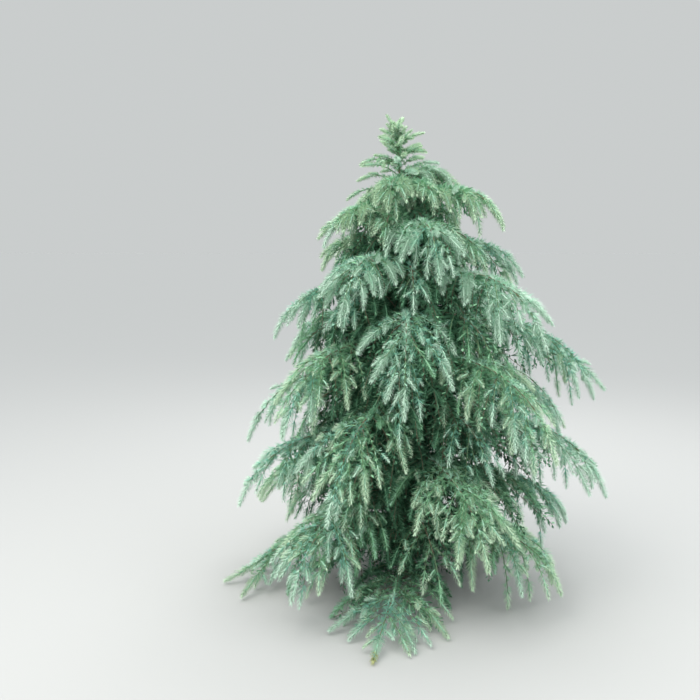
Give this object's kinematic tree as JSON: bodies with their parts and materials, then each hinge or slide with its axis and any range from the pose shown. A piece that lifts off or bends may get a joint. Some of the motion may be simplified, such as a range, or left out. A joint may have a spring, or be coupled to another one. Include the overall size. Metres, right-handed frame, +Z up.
{
  "type": "young cedar tree",
  "caption": "Young weeping cedar tree with one straight leader, arching boughs and drooping needle-clad shoots down to the ground, rooted in the ground.",
  "frame": {"origin": "middle of the flat cut under the trunk, at ground level", "axes": "+Z up along the trunk, -Y towards the side that the tree is looked at from, +X to the right of that view"},
  "size_m": [1.7802, 1.685, 2.2077],
  "materials": {
    "bark": "matt grey-brown young bark, finely fissured",
    "needles": "soft blue-green needles with a pale waxy bloom, paler at the shoot tips"
  },
  "bodies": {
    "root": {"bough_01": "bark", "bough_02": "bark", "bough_03": "bark", "bough_04": "bark", "bough_05": "bark", "bough_06": "bark", "bough_07": "bark", "bough_08": "bark", "bough_09": "bark", "bough_10": "bark", "bough_11": "bark", "bough_12": "bark", "bough_13": "bark", "bough_14": "bark", "bough_15": "bark", "bough_16": "bark", "bough_17": "bark", "bough_18": "bark", "bough_19": "bark", "bough_20": "bark", "bough_21": "bark", "foliage_01": "needles", "foliage_02": "needles", "foliage_03": "needles", "foliage_04": "needles", "foliage_05": "needles", "foliage_06": "needles", "foliage_07": "needles", "foliage_08": "needles", "foliage_09": "needles", "foliage_10": "needles", "foliage_11": "needles", "foliage_12": "needles", "foliage_13": "needles", "foliage_14": "needles", "foliage_15": "needles", "foliage_16": "needles", "foliage_17": "needles", "foliage_18": "needles", "foliage_19": "needles", "foliage_20": "needles", "foliage_21": "needles", "foliage_22": "needles", "foliage_23": "needles", "foliage_24": "needles", "foliage_25": "needles", "foliage_26": "needles", "foliage_27": "needles", "foliage_28": "needles", "foliage_29": "needles", "foliage_30": "needles", "foliage_31": "needles", "foliage_32": "needles", "foliage_33": "needles", "foliage_34": "needles", "foliage_35": "needles", "foliage_36": "needles", "foliage_leader": "needles", "trunk": "bark"}
  },
  "joints": []
}
